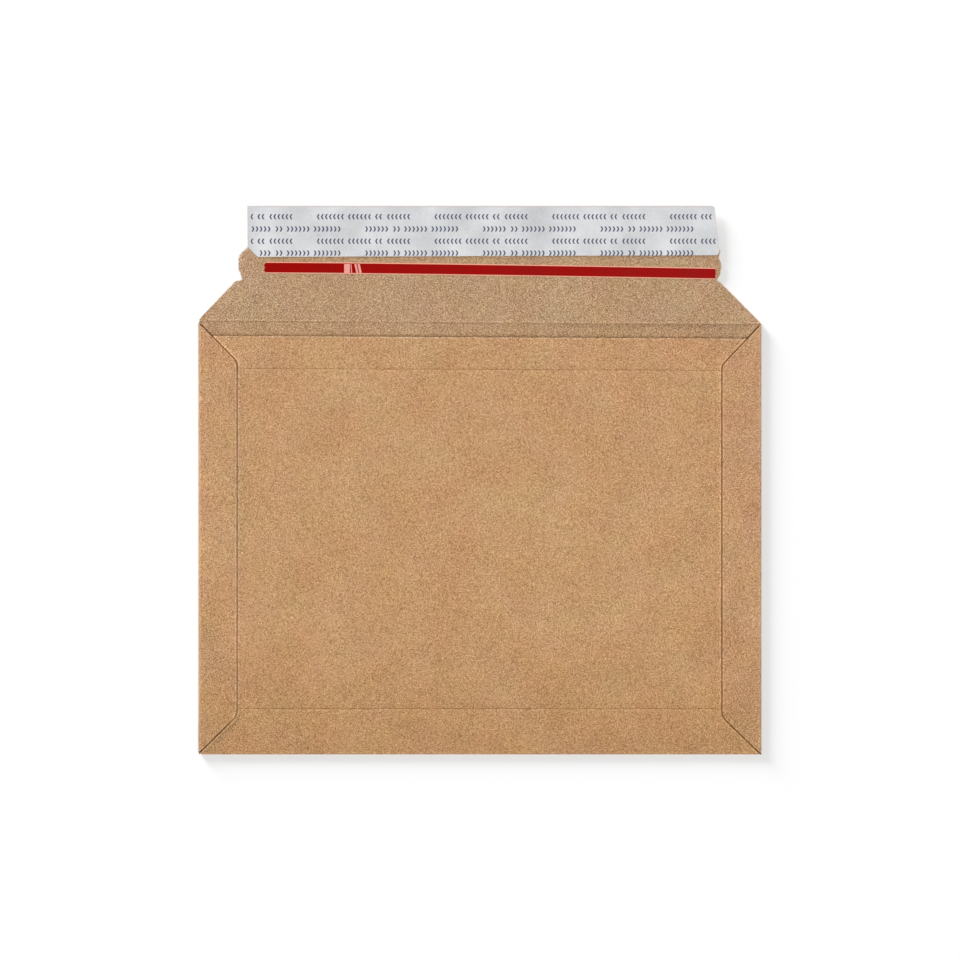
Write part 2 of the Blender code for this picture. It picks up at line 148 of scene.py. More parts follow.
# The board is one sheet, folded from the flap's end round to the side flaps.
# Lengths are in mm. A tilt is the drop from left to right over the whole width, because the
# photographed creases and mouth run a little downhill. A tone above 1 lightens, below 1 darkens.
board = {
    "thickness": 0.7,
    "frontLevel": 1.65,        # height of the front panel's middle
    "sideLevel": 2.55,         # height of the side flaps' middle
    "bottomPast": 0.15,        # the bottom fold reaches this far past the CAD's
    "frontPastFold": 0.1,
    "mouthDrop": 5.9,
    "mouthTilt": 1.3,
    "foldSteps": 18,
    "foldRoundness": 0.6,      # 1 is a round roll, less is pressed squarer
    "cornerSpread": (0.95, 0.55),  # how far the bottom fold's corners spread at its edge and on top
    "cornerReach": 3.0,
    "crown": 0.15,             # the front panel bulges up by this much
    "crownPast": 12.0,
    "crownRun": 30.0,
    "pressFromSide": 19.0,     # capacity creases, pressed into both panels
    "pressFromCrease": 19.5,
    "pressFromBottom": 19.0,
    "pressTilt": 0.96,
    "pressDepth": 0.06,
    "sidePressDepth": 0.035,
    "pressWidth": 0.42,
    "topRadius": 3.5,          # the side flaps' inner corners
    "bottomRadius": 5.0,
    "mitreRow": 0.45,          # width of the narrow row of faces along each mitre
    "panelColumns": 40,        # numbers of faces across and up the panels and their margins
    "marginColumns": 4,
    "panelRows": 32,
    "lowRows": 5,
    "topRows": 6,
    "bandRows": 18,
    "slopeRows": 12,
    "sideColumns": (0.25, 0.7),    # narrow columns and rows beside the folds and the mouth
    "foldRow": 0.12,
    "frontRow": 0.5,
    "mouthRows": (0.25, 0.6),
    "pressClear": 2.0,         # the others keep this far from a crease, on its outer and inner side
    "pressClearInside": 3.0,
    "sideFlapColumns": (0.2, 0.4, 0.55, 0.64, 0.7, 0.75, 0.8, 0.84, 0.88, 0.91, 0.94, 0.96, 0.985, 1.0),
    "slopeEnd": 16.5,          # above this the flap's rows follow its edges' points
    "endRows": (34.0, 46.0, 6),
    "bandLow": 0.3,            # the strip that bends when the flap turns, down and up from the crease
    "bandHigh": 1.8,
    "flapLength": 48.45,
    "flapInset": 0.15,
    "flapWidening": 0.45,
    "ridgeHeight": 0.1,        # the flap's crease stands proud inside
    "ridgeMiddle": 0.35,
    "ridgeWidth": 0.6,
    "ridgeTilt": 1.5,
    "wearWidth": 0.6,          # how far the torn fibres reach in from a cut edge
    "wearFrom": 0.3,           # the flap's edges are torn above this
    "mouthWear": 0.7,
    "sideWear": 0.8,
    "sideWearWidth": 0.5,
    "cutSoftness": 0.1,
    "cutAngle": 55.0,          # degrees; sharper edges than this are softened
    # the side flaps aren't quite alike: how far in they reach, how steep their ends are, and how
    # far the ends start past the side folds' own ends
    "sideFlaps": (
        {"side": -1, "reach": 15.75, "topSlope": 1.02, "lowSlope": 0.99, "topPast": 0.5, "lowPast": 0.5},
        {"side": 1, "reach": 16.2, "topSlope": 1.06, "lowSlope": 0.97, "topPast": 0.0, "lowPast": 1.1},
    ),
    # the flap's edges: how far up from the crease, how far in from the pocket's side
    "flapLeft": (
        (0.15, 0.15), (1.6, 0.2), (2.3, 0.65), (17.2, 15.1), (17.5, 15.8),          # slope
        (17.75, 17.3), (18.0, 17.9), (18.6, 18.0),                                  # notch
        (20.2, 17.6), (21.6, 17.0), (23.0, 16.72), (25.0, 16.66), (26.8, 16.72),    # tab
        (28.2, 17.2), (29.6, 18.4), (31.4, 20.4), (31.8, 20.8),                     # shoulder
        (32.6, 20.85), (48.3, 20.85), (48.6, 21.1),                                 # straight end
    ),
    "flapRight": (
        (0.15, 0.15), (17.0, 17.05),                                                # slope
        (17.25, 17.5), (17.45, 18.1), (17.75, 18.5), (18.3, 18.3),                  # notch
        (20.0, 17.3), (21.6, 16.9), (23.2, 16.7), (24.6, 16.7),                     # tab
        (25.6, 17.0), (26.8, 17.5), (27.9, 17.75), (29.2, 17.3),                    # dip
        (30.1, 17.1), (31.0, 17.55), (48.3, 19.62), (48.6, 19.95),                  # straight end
    ),
    # Kraft solid board: recycled pulp, pressed in two plies and left uncoated. It looks matt, with a
    # salt-and-pepper grain of short fibres and rare dark hairs and specks. The outer ply is kraft
    # brown, the inner one greyer, and the cut edges are pale where fibres are torn.
    "look": {
        "outerColour": "B3885A",
        "innerColour": "A8845C",
        "coreColour": "C2996D",
        "tornColour": "D9C3A5",
        "tornShare": 0.6,
        "tornSize": 0.6,
        "tornUnevenness": 1.2,
        "tornLimit": 0.62,
        "innerGrain": 1.3,
        "coreGrain": 0.7,
        "roughness": 0.82,
        "ior": 1.45,
        "specular": 0.25,
        "fuzz": 0.06,              # loose fibres on the surface
        "fuzzRoughness": 0.6,
        "bumpSize": 0.4,
        "bumpStrength": 0.2,
        "bumpDepth": 0.05,
        "fibreSize": 0.13,         # light and dark fibre ends, four times as wide as real so that they show
        "fibreDepth": 2.7,
        # slower fields: size, detail, roughness, depth and whether a coarser ply has more of it
        "fields": ((0.5, 2, 0.8, 0.08, True), (1.5, 2, 0.6, 0.05, False), (24.0, 2, 0.6, 0.48, False)),
        "darkestTone": 0.25,
        "redPower": 0.8,           # darker spots are browner and lighter ones paler
        "bluePower": 1.35,
        # slow drifts of the colour, from redder to greyer and from pinker to yellower: size, both ends
        "drifts": (
            (22.0, (1.022, 0.99, 0.97), (0.981, 1.007, 1.022)),
            (15.0, (1.004, 0.98, 1.02), (0.997, 1.018, 0.98)),
        ),
        "driftSpan": 0.15,         # less is more patchy
        # long dark hairs and short dark and pale shreds, in some cells of a grid; length and width
        # are half the fibre's, which is wider than real so that it shows
        "hairs": (
            {"spacing": 11.0, "length": 1.3, "width": 0.11, "share": 0.4, "shift": 3.1, "tone": 0.42},
            {"spacing": 2.2, "length": 0.55, "width": 0.09, "share": 0.5, "shift": 17.3, "tone": 0.72},
            {"spacing": 2.86, "length": 0.55, "width": 0.09, "share": 0.5, "shift": 41.9, "tone": 1.22},
        ),
        "shiftSkew": 1.7,          # the grids are shifted from each other by this times more up than across
        "hairCurl": 0.12,
        "hairEnd": 0.7,            # where a hair starts to fade, along and across
        "hairSide": 0.5,
        "speckSpacing": 8.0,
        "speckSize": 0.34,
        "speckEdge": 0.4,
        "speckTone": 0.45,
        "speckShare": 0.4,
    },
    # Painted shade and highlights of the folding and the gluing, and scuffs, placed from the sheet's own
    # lines.
    # A line is its offset from the sheet's, half its width and its tone. The others in brackets are start,
    # end and tone.
    "paintedLightAndScuffs": {
        "middle": (-1.0, 1.0),     # what differs between left and right changes here
        "lineEdge": 0.25,
        "endShift": 0.28,          # the side flaps' ends on the plan, and how round their corners are
        "lowStart": 1.12,
        "topRound": 1.6,
        "lowRound": 2.2,
        "frontFrom": 0.4,          # heights over the floor that tell the panels' faces apart
        "frontTo": 2.45,
        "insideFrom": 0.5,
        "mouthFrom": 1.5,
        "seamStart": 0.48,         # painted shade beside a glued edge and its mitres, weaker where the key light shades it
        "seamEnd": 0.78,
        "seamLeft": 0.74,
        "seamRight": 0.42,
        "topMitre": 0.36,
        "topMitreFade": 4.0,
        "lowMitre": 0.35,
        "lowMitreEnds": (12.0, 15.0),
        "lip": (-0.55, -0.15, 1.09),   # painted highlight on the glued edge's rim and on the panel beside its painted shade
        "besideAt": 0.98,              # and so does the panel beside its shade
        "besideFade": (0.15, 0.42),
        "besideLeft": 1.5,
        "besideRight": 1.24,
        "leftSeamLight": (2.6, 4.6, 0.085),   # painted light beside the left flap, offsetting the shade its edge casts
        "clear": (0.8, 3.3, 0.25),     # the pressed lines fade where the side flaps press on them
        # painted shade and highlight of the pressed creases' walls
        "topLines": ((0.2, 0.38, 0.78), (-0.4, 0.48, 1.04)),
        "lowLines": ((0.2, 0.38, 0.76), (-0.42, 0.5, 1.05)),
        "sideLine": (0.0, 0.36, 0.93),
        # painted highlight along the front panel's edge at the mouth
        "mouthLine": (-0.3, 0.5, 1.12),
        "foldStart": 1.3,          # folds are stretched and scuffed lighter, with painted light on the right and bottom folds
        "lowFoldStart": 1.0,
        "foldFade": (-0.2, 1.2),
        "rightFold": 1.5,
        "lowFold": 1.62,
        "leftFold": 1.04,
        "lowShadeReach": 40.0,      # painted shade, darker towards the bottom, away from the key light
        "lowShadeTone": 0.88,
        # painted highlight and shade of the flap's crease, and painted shade below it and in the mouth
        "creaseLines": ((1.0, 0.5, 1.06), (0.2, 0.5, 0.87)),
        "belowCrease": (-0.6, 0.1, 0.93),
        "nearMouth": (0.4, 2.2, 0.9),
        "mouthShade": (0.35, 0.95, 0.72),
        "bandMiddle": 0.75,        # grain is weaker on the outside of the flap's crease, which opens wide
        "bandEnds": (0.9, 1.6),
        "bandGrain": 0.45,
        "seamGreenPower": 0.15,    # the painted seam shade is browner, as light from inside a seam comes back browner
        "seamBluePower": 0.55,
        "topPale": 1.03,           # a little greyer at the top and on the side flaps
        "leftPale": 0.02,
        "rightPale": 0.06,
    },
}
width = (pocketBox[1].x - pocketBox[0].x) / mm
halfWidth = width / 2
lowEdge = pocketBox[0].y / mm - board["bottomPast"]
crease = hinge.y / mm
pressX = halfWidth - board["pressFromSide"]
lowPress = lowEdge + board["pressFromBottom"]
topPress = crease - board["pressFromCrease"]
mouthY = crease - board["mouthDrop"]
backLevel = board["thickness"] / 2
bottomFold = (board["frontLevel"] - backLevel) / 2
sideFold = (board["sideLevel"] - backLevel) / 2
foldX = halfWidth - sideFold - backLevel
foldY = lowEdge + bottomFold + backLevel
bandLow = crease - board["bandLow"]
bandHigh = crease + board["bandHigh"]
flapEnd = crease + board["flapLength"]


def pulpField(add, place, size, detail=2, roughness=0.6):
    # unevenly spread pulp, as a soft field around 0
    cloud = {"Vector": place, "Scale": 1 / size, "Detail": detail, "Roughness": roughness}
    return add("Math", add("TexNoise", cloud).outputs["Fac"], 0.5, operation="SUBTRACT")


def fibreMark(add, place, spacing, length, width, share, shift, tone):
    # a short curled fibre in some of the cells, each lying its own way
    look = board["look"]
    moved = add("VectorMath", place, (shift, shift * look["shiftSkew"], 0.0), operation="ADD")
    cells = add("TexVoronoi", {"Vector": moved, "Scale": 1 / spacing}, voronoi_dimensions="2D")
    middle = add("VectorMath", {0: cells.outputs["Position"], "Scale": spacing}, operation="SCALE")
    away = add("VectorMath", moved, middle, operation="SUBTRACT")
    chance = add("SeparateColor", cells.outputs["Color"]).outputs
    angle = add("Math", chance[0], math.tau, operation="MULTIPLY")
    turned = add("VectorRotate", {"Vector": away, "Angle": angle}, rotation_type="Z_AXIS")
    along, across, _ = add("SeparateXYZ", turned).outputs
    bend = add("Math", along, along, operation="MULTIPLY")
    curl = add("Math", bend, look["hairCurl"] / length, operation="MULTIPLY")
    offLine = add("Math", add("Math", across, curl, operation="SUBTRACT"), operation="ABSOLUTE")
    offMiddle = add("Math", along, operation="ABSOLUTE")
    inLength = add("MapRange", offMiddle, length * look["hairEnd"], length, 1.0, 0.0)
    inWidth = add("MapRange", offLine, width * look["hairSide"], width, 1.0, 0.0)
    shape = add("Math", inLength, inWidth, operation="MULTIPLY")
    chosen = add("Math", chance[1], share, operation="LESS_THAN")
    shown = add("Math", shape, chosen, operation="MULTIPLY")
    return add("MapRange", shown, 0.0, 1.0, 1.0, tone)


def speckMark(add, place):
    # a round dark speck in some of the cells
    look = board["look"]
    spacing, size = look["speckSpacing"], look["speckSize"]
    cells = add("TexVoronoi", {"Vector": place, "Scale": 1 / spacing}, voronoi_dimensions="2D")
    chance = add("SeparateColor", cells.outputs["Color"])
    away = add("Math", cells.outputs["Distance"], spacing, operation="MULTIPLY")
    speck = add("MapRange", away, size * look["speckEdge"], size, look["speckTone"], 1.0)
    without = add("Math", chance, 1 - look["speckShare"], operation="LESS_THAN")
    return add("Math", speck, without, operation="MAXIMUM")


def lineMark(add, value, at, line):
    # a soft line of the sheet where value is at, plus the line's own offset
    offset, halfLine, tone = line
    away = add("Math", add("Math", value, at + offset, operation="SUBTRACT"), operation="ABSOLUTE")
    return add("MapRange", away, halfLine * board["paintedLightAndScuffs"]["lineEdge"], halfLine, tone, 1.0)


def grainTone(add, place, y, z, grain):
    # single fibre ends over slower unevenness of the pulp
    look = board["look"]
    paintedLightAndScuffs = board["paintedLightAndScuffs"]
    tone = 1.0
    for size, detail, roughness, depth, coarser in look["fields"]:
        field = pulpField(add, place, size, detail, roughness)
        tone = add("Math", field, depth * (grain if coarser else 1.0), tone, operation="MULTIPLY_ADD")
    fibres = add("TexVoronoi", {"Vector": place, "Scale": 1 / look["fibreSize"]})
    chance = add("SeparateColor", fibres.outputs["Color"])
    fibre = add("Math", chance, 0.5, operation="SUBTRACT")
    bandMiddle = crease + paintedLightAndScuffs["bandMiddle"]
    away = add("Math", add("Math", y, bandMiddle, operation="SUBTRACT"), operation="ABSOLUTE")
    outsideBand = add("MapRange", away, *paintedLightAndScuffs["bandEnds"], paintedLightAndScuffs["bandGrain"], 1.0)
    inside = add("Math", z, paintedLightAndScuffs["insideFrom"], operation="GREATER_THAN")
    share = add("Math", outsideBand, inside, operation="MAXIMUM")
    depth = add("Math", share, look["fibreDepth"] * grain, operation="MULTIPLY")
    tone = add("Math", fibre, depth, tone, operation="MULTIPLY_ADD")
    return add("Math", tone, look["darkestTone"], operation="MAXIMUM")


def sideFlapOutline(add, x, y):
    # how far a place on the plan is from the nearer side flap, below 0 on the flap
    paintedLightAndScuffs = board["paintedLightAndScuffs"]
    outlines = []
    for one in board["sideFlaps"]:
        fromMiddle = add("Math", x, one["side"], operation="MULTIPLY")
        fromSide = add("Math", halfWidth, fromMiddle, operation="SUBTRACT")
        shifted = add("Math", fromSide, paintedLightAndScuffs["endShift"], operation="ADD")
        outline = add("Math", fromSide, one["reach"], operation="SUBTRACT")
        topStart = bandLow + one["topPast"]
        lowStart = lowEdge + paintedLightAndScuffs["lowStart"] - one["lowPast"]
        fromTop = add("Math", topStart, y, operation="SUBTRACT")
        fromLow = add("Math", y, lowStart, operation="SUBTRACT")
        for slope, fromEnd, rounding in (
            (one["topSlope"], fromTop, paintedLightAndScuffs["topRound"]),
            (one["lowSlope"], fromLow, paintedLightAndScuffs["lowRound"]),
        ):
            run = add("Math", shifted, slope, operation="MULTIPLY")
            ahead = add("Math", run, fromEnd, operation="SUBTRACT")
            past = add("Math", ahead, math.hypot(1, slope), operation="DIVIDE")
            outline = add("Math", outline, past, rounding, operation="SMOOTH_MAX")
        outlines.append(outline)
    return add("Math", *outlines, operation="MINIMUM")


def seamShade(add, x, y, outline, onFront):
    # painted shade beside the glued edge and along the mitres, standing in for the shade of the gap
    paintedLightAndScuffs = board["paintedLightAndScuffs"]
    leftRight = add("MapRange", x, *paintedLightAndScuffs["middle"], paintedLightAndScuffs["seamLeft"], paintedLightAndScuffs["seamRight"])
    top = add("MapRange", y, topPress - paintedLightAndScuffs["topMitreFade"], topPress, 1.0, paintedLightAndScuffs["topMitre"])
    shade = add("Math", leftRight, top, operation="MINIMUM")
    lowStart, lowEnd = paintedLightAndScuffs["lowMitreEnds"]
    low = add("MapRange", y, lowEdge + lowStart, lowEdge + lowEnd, paintedLightAndScuffs["lowMitre"], 1.0)
    shade = add("Math", shade, low, operation="MINIMUM")
    seam = add("MapRange", outline, paintedLightAndScuffs["seamStart"], paintedLightAndScuffs["seamEnd"], shade, 1.0)
    elsewhere = add("Math", 1.0, onFront, operation="SUBTRACT")
    return add("Math", seam, elsewhere, operation="MAXIMUM")


def besideSeam(add, x, z, outline, onFront):
    # painted highlight on the glued edge's rim and on the panel beside it, and painted light beside the left
    # flap that offsets the shade of its edge
    paintedLightAndScuffs = board["paintedLightAndScuffs"]
    lipStart, lipEnd, lipTone = paintedLightAndScuffs["lip"]
    rim = add("MapRange", outline, lipStart, lipEnd, 1.0, lipTone)
    onSides = add("Math", z, board["sideLevel"], operation="GREATER_THAN")
    lip = add("Math", rim, add("Math", 1.0, onSides, operation="ADD"), operation="MINIMUM")
    fromGlow = add("Math", outline, paintedLightAndScuffs["besideAt"], operation="SUBTRACT")
    away = add("Math", fromGlow, operation="ABSOLUTE")
    leftRight = add("MapRange", x, *paintedLightAndScuffs["middle"], paintedLightAndScuffs["besideLeft"], paintedLightAndScuffs["besideRight"])
    glow = add("MapRange", away, *paintedLightAndScuffs["besideFade"], leftRight, 1.0)
    beside = add("Math", glow, add("Math", 1.0, onFront, operation="ADD"), operation="MINIMUM")
    # painted light beside the left flap, offsetting the shade its edge casts
    start, end, rise = paintedLightAndScuffs["leftSeamLight"]
    leftLightRamp = add("MapRange", outline, start, end, rise, 0.0)
    onLeft = add("Math", onFront, add("Math", x, 0.0, operation="LESS_THAN"), operation="MULTIPLY")
    leftSeamLight = add("Math", leftLightRamp, onLeft, 1.0, operation="MULTIPLY_ADD")
    return [lip, beside, leftSeamLight]


def pressedLines(add, x, y, outline, onFront):
    # painted shade and highlight of the pressed creases' walls; pressed before folding, so they don't cross
    # the side flaps
    paintedLightAndScuffs = board["paintedLightAndScuffs"]
    start, end, weakest = paintedLightAndScuffs["clear"]
    clear = add("Math", onFront, add("MapRange", outline, start, end, weakest, 1.0), operation="MULTIPLY")
    tilted = add("Math", x, board["pressTilt"] / width, y, operation="MULTIPLY_ADD")
    lines = [lineMark(add, tilted, topPress, line) for line in paintedLightAndScuffs["topLines"]]
    lines += [lineMark(add, y, lowPress, line) for line in paintedLightAndScuffs["lowLines"]]
    lines.append(lineMark(add, add("Math", x, operation="ABSOLUTE"), pressX, paintedLightAndScuffs["sideLine"]))
    marks = []
    for line in lines:
        change = add("Math", line, 1.0, operation="SUBTRACT")
        marks.append(add("Math", change, clear, 1.0, operation="MULTIPLY_ADD"))
    return marks


def foldScuffsAndLight(add, x, y):
    # the folds are stretched and rubbed paler, and painted lighter on the right and bottom folds, which face
    # away from the key light; painted shade makes the bottom end a little darker
    paintedLightAndScuffs = board["paintedLightAndScuffs"]
    start, end = paintedLightAndScuffs["foldFade"]
    overRight = add("Math", x, halfWidth - paintedLightAndScuffs["foldStart"], operation="SUBTRACT")
    overLeft = add("Math", paintedLightAndScuffs["foldStart"] - halfWidth, x, operation="SUBTRACT")
    overLow = add("Math", lowEdge + paintedLightAndScuffs["lowFoldStart"], y, operation="SUBTRACT")
    right = add("MapRange", overRight, start, end, 1.0, paintedLightAndScuffs["rightFold"])
    low = add("MapRange", overLow, start, end, 1.0, paintedLightAndScuffs["lowFold"])
    left = add("MapRange", overLeft, start, end, 1.0, paintedLightAndScuffs["leftFold"])
    # painted shade, darker towards the bottom
    lowShadeEnd = lowPress + paintedLightAndScuffs["lowShadeReach"]
    lowShade = add("MapRange", y, lowEdge, lowShadeEnd, paintedLightAndScuffs["lowShadeTone"], 1.0)
    return [add("Math", right, low, operation="MAXIMUM"), left, lowShade]


def outerMarks(add, x, y, z, outline, onFront):
    marks = besideSeam(add, x, z, outline, onFront) + pressedLines(add, x, y, outline, onFront)
    # a painted highlight along the front panel's edge at the mouth
    mouth = add("Math", x, board["mouthTilt"] / width, y, operation="MULTIPLY_ADD")
    onTop = add("Math", z, board["paintedLightAndScuffs"]["mouthFrom"], operation="GREATER_THAN")
    most = add("Math", onTop, onFront, 1.0, operation="MULTIPLY_ADD")
    edge = lineMark(add, mouth, mouthY, board["paintedLightAndScuffs"]["mouthLine"])
    marks.append(add("Math", edge, most, operation="MINIMUM"))
    return marks + foldScuffsAndLight(add, x, y)


def innerMarks(add, x, y):
    # painted highlight and shade along the flap's crease, and painted shade below it and in the mouth
    paintedLightAndScuffs = board["paintedLightAndScuffs"]
    tilted = add("Math", x, board["ridgeTilt"] / width, y, operation="MULTIPLY_ADD")
    marks = [lineMark(add, tilted, crease, line) for line in paintedLightAndScuffs["creaseLines"]]
    start, end, tone = paintedLightAndScuffs["belowCrease"]
    fromCrease = add("Math", tilted, crease, operation="SUBTRACT")
    marks.append(add("MapRange", fromCrease, start, end, tone, 1.0))
    mouth = add("Math", x, board["mouthTilt"] / width, y, operation="MULTIPLY_ADD")
    start, end, tone = paintedLightAndScuffs["nearMouth"]
    fromMouth = add("Math", mouth, mouthY, operation="SUBTRACT")
    marks.append(add("MapRange", fromMouth, start, end, tone, 1.0))
    marks.append(lineMark(add, mouth, mouthY, paintedLightAndScuffs["mouthShade"]))
    return marks


def boardBase(add, place, colour):
    # the ply's colour with its slow drifts, and torn fibres that show paler along cut edges
    look = board["look"]
    base = hexColour(colour)[:3]
    for size, first, second in look["drifts"]:
        field = pulpField(add, place, size, 1)
        where = add("MapRange", field, -look["driftSpan"], look["driftSpan"], 0.0, 1.0)
        ends = {"Factor": where, 6: (*first, 1.0), 7: (*second, 1.0)}  # 6 and 7 are the colour sockets
        drift = add("Mix", ends, data_type="RGBA").outputs[2]
        base = add("VectorMath", base, drift, operation="MULTIPLY")
    wear = add("Attribute", attribute_name="wear").outputs["Fac"]
    uneven = pulpField(add, place, look["tornSize"])
    ragged = add("Math", uneven, look["tornUnevenness"], wear, operation="MULTIPLY_ADD")
    torn = add("Math", ragged, look["tornLimit"], operation="GREATER_THAN")
    share = add("Math", torn, look["tornShare"], operation="MULTIPLY")
    ends = {"Factor": share, 6: base, 7: hexColour(look["tornColour"])}
    return add("Mix", ends, data_type="RGBA").outputs[2]


def boardTint(add, x, y, z, tone, seam):
    # red, green and blue follow the tone unevenly, and the painted seam shade is browner
    look = board["look"]
    paintedLightAndScuffs = board["paintedLightAndScuffs"]
    onSides = add("Math", z, board["sideLevel"], operation="GREATER_THAN")
    leftRight = add("MapRange", x, *paintedLightAndScuffs["middle"], paintedLightAndScuffs["leftPale"], paintedLightAndScuffs["rightPale"])
    upward = add("MapRange", y, lowPress, topPress, 1.0, paintedLightAndScuffs["topPale"])
    paler = add("Math", onSides, leftRight, upward, operation="MULTIPLY_ADD")
    red = add("Math", tone, look["redPower"], operation="POWER")
    seamGreen = add("Math", seam, paintedLightAndScuffs["seamGreenPower"], operation="POWER")
    seamBlue = add("Math", seam, paintedLightAndScuffs["seamBluePower"], operation="POWER")
    green = add("Math", tone, seamGreen, operation="MULTIPLY")
    browner = add("Math", paler, seamBlue, operation="MULTIPLY")
    toneBlue = add("Math", tone, look["bluePower"], operation="POWER")
    blue = add("Math", toneBlue, browner, operation="MULTIPLY")
    return add("CombineXYZ", red, green, blue)


def boardMaterial(name, colour, grain=1.0, outside=False):
    look = board["look"]
    material, add, shader = newMaterial(name)
    restPlace = add("Attribute", attribute_name="restPlace").outputs["Vector"]
    place = add("VectorMath", {0: restPlace, "Scale": 1 / mm}, operation="SCALE")
    x, y, z = add("SeparateXYZ", place).outputs
    outline = sideFlapOutline(add, x, y)
    # 1 on the faces that lie between the back panel and the side flaps' tops, 0 elsewhere
    underSides = add("Math", z, board["paintedLightAndScuffs"]["frontTo"], operation="LESS_THAN")
    overBack = add("Math", z, board["paintedLightAndScuffs"]["frontFrom"], operation="GREATER_THAN")
    onFront = add("Math", underSides, overBack, operation="MULTIPLY")
    seam = seamShade(add, x, y, outline, onFront)
    marks = [fibreMark(add, place, **hair) for hair in look["hairs"]]
    marks += [speckMark(add, place), seam]
    marks += outerMarks(add, x, y, z, outline, onFront) if outside else innerMarks(add, x, y)
    tone = grainTone(add, place, y, z, grain)
    for mark in marks:
        tone = add("Math", tone, mark, operation="MULTIPLY")
    tint = boardTint(add, x, y, z, tone, seam)
    relief = pulpField(add, place, look["bumpSize"], 3)
    bump = {"Height": relief, "Strength": look["bumpStrength"], "Distance": look["bumpDepth"] * mm}
    setInputs(shader, {
        "Base Color": add("VectorMath", boardBase(add, place, colour), tint, operation="MULTIPLY"),
        "Normal": add("Bump", bump),
        "Roughness": look["roughness"],
        "IOR": look["ior"],
        "Specular IOR Level": look["specular"],
        "Sheen Weight": look["fuzz"],
        "Sheen Roughness": look["fuzzRoughness"],
    })
    return material


def between(table, at):
    for (a, valueA), (b, valueB) in zip(table, table[1:]):
        if at <= b:
            return valueA + (valueB - valueA) * max(at - a, 0.0) / (b - a)
    return table[-1][1]


def steps(start, end, count):
    return [start + (end - start) * i / count for i in range(count + 1)]


def grooveSteps(at):
    return [at + board["pressWidth"] * share for share in (-1, -0.55, -0.25, 0, 0.25, 0.55, 1)]


def pressDepth(x, y):
    # the pressed creases, as a soft groove
    fromLine = min(abs(y - topPress), abs(y - lowPress))
    across = board["pressDepth"] * smoothStep(1 - fromLine / board["pressWidth"])
    upright = board["sidePressDepth"] * smoothStep(1 - abs(abs(x) - pressX) / board["pressWidth"])
    return max(across, upright)


def crownHeight(x, y):
    past, run = board["crownPast"], board["crownRun"]
    inX = smoothStep((pressX + past - abs(x)) / run)
    inY = smoothStep((min(y - lowPress, topPress - y) + past) / run)
    return board["crown"] * inX * inY


def frontDrop(x, y):
    # how far the front panel's lines run downhill at this height
    tilts = [(lowPress, 0.0), (topPress, board["pressTilt"]), (mouthY, board["mouthTilt"])]
    return between(tilts, y) * x / width


def squared(share):
    # a fold is pressed flatter than a round roll
    return math.copysign(abs(share) ** board["foldRoundness"], share)


def mitreEnd(depth, reach, slope, radius):
    # how far the end of a side flap has stepped in, with its inner corner rounded
    run = math.hypot(1, slope)
    if depth <= reach - radius + radius * slope / run:
        return slope * max(depth, 0.0)
    across = min(depth - (reach - radius), radius)
    return slope * (reach - radius) + radius * run - math.sqrt(radius * radius - across * across)


def flapSide(table, up):
    # the flap's edge from the middle line; below the crease it widens from the folds to full width
    inset = board["flapInset"]
    if up > inset:
        return halfWidth - between(table, up)
    share = smoothStep((up + board["bandLow"]) / board["flapWidening"])
    return foldX + (halfWidth - inset - foldX) * share


def addVert(bm, place, worn=0.0):
    made = bm.verts.new(place)
    made[bm.verts.layers.float["wear"]] = worn
    return made


def addGrid(bm, rows):
    for lower, upper in zip(rows, rows[1:]):
        for corners in zip(lower, lower[1:], upper[1:], upper):
            bm.faces.new(corners)
    return rows


def boardColumns():
    clear, clearInside = board["pressClear"], board["pressClearInside"]
    half = [foldX, *[foldX - inset for inset in board["sideColumns"]], *grooveSteps(pressX)]
    half += steps(pressX + clear, foldX - clear, board["marginColumns"])
    middle = steps(clearInside - pressX, pressX - clearInside, board["panelColumns"])
    return sorted({*half, *[-x for x in half], *middle})


def panelRows(end):
    # heights on the plan that the back's and the front's rows share, and the rows above them
    clear, clearInside = board["pressClear"], board["pressClearInside"]
    shared = [*grooveSteps(lowPress), *grooveSteps(topPress)]
    shared += steps(lowPress + clearInside, topPress - clearInside, board["panelRows"])
    shared += steps(foldY + board["foldRow"] + clear, lowPress - clear, board["lowRows"])
    return shared + steps(topPress + clear, end, board["topRows"])


def addBack(bm, columns):
    heights = sorted({foldY, foldY + board["foldRow"], *panelRows(bandLow)})
    rows = []
    for y in heights:
        rows.append([addVert(bm, Vector((x, y, backLevel + pressDepth(x, y))) * mm) for x in columns])
    return heights, addGrid(bm, rows)


def addFlap(bm, columns, lastRow):
    # the crease and the flap carry on from the back panel's last row
    slopeEnd = board["slopeEnd"]
    start, end, count = board["endRows"]
    ups = [up for up, _ in board["flapLeft"] + board["flapRight"] if up > slopeEnd]
    ups += steps(start, end, count)
    heights = {crease + up for up in ups} | {flapEnd - board["wearWidth"], flapEnd}
    heights |= {*steps(bandLow, bandHigh, board["bandRows"])[1:]}
    heights |= {*steps(bandHigh, crease + slopeEnd, board["slopeRows"])[1:]}
    rows = [lastRow]
    for y in sorted(y for y in heights if y <= flapEnd):
        up = y - crease
        left, right = -flapSide(board["flapLeft"], up), flapSide(board["flapRight"], up)
        lifted = smoothStep((y - bandLow) / (bandHigh - bandLow))
        row = []
        for x in columns:
            share = (x + foldX) / (2 * foldX)
            fromRidge = abs(up + board["ridgeTilt"] * x / width - board["ridgeMiddle"])
            ridge = board["ridgeHeight"] * smoothStep(1 - fromRidge / board["ridgeWidth"])
            place = onFlap(left + (right - left) * share, y, backLevel + ridge, lifted)
            edge = min(foldX - abs(x), flapEnd - y) if up > board["wearFrom"] else 1.0
            row.append(addVert(bm, place, smoothStep(1 - edge / board["wearWidth"])))
        rows.append(row)
    addGrid(bm, rows)


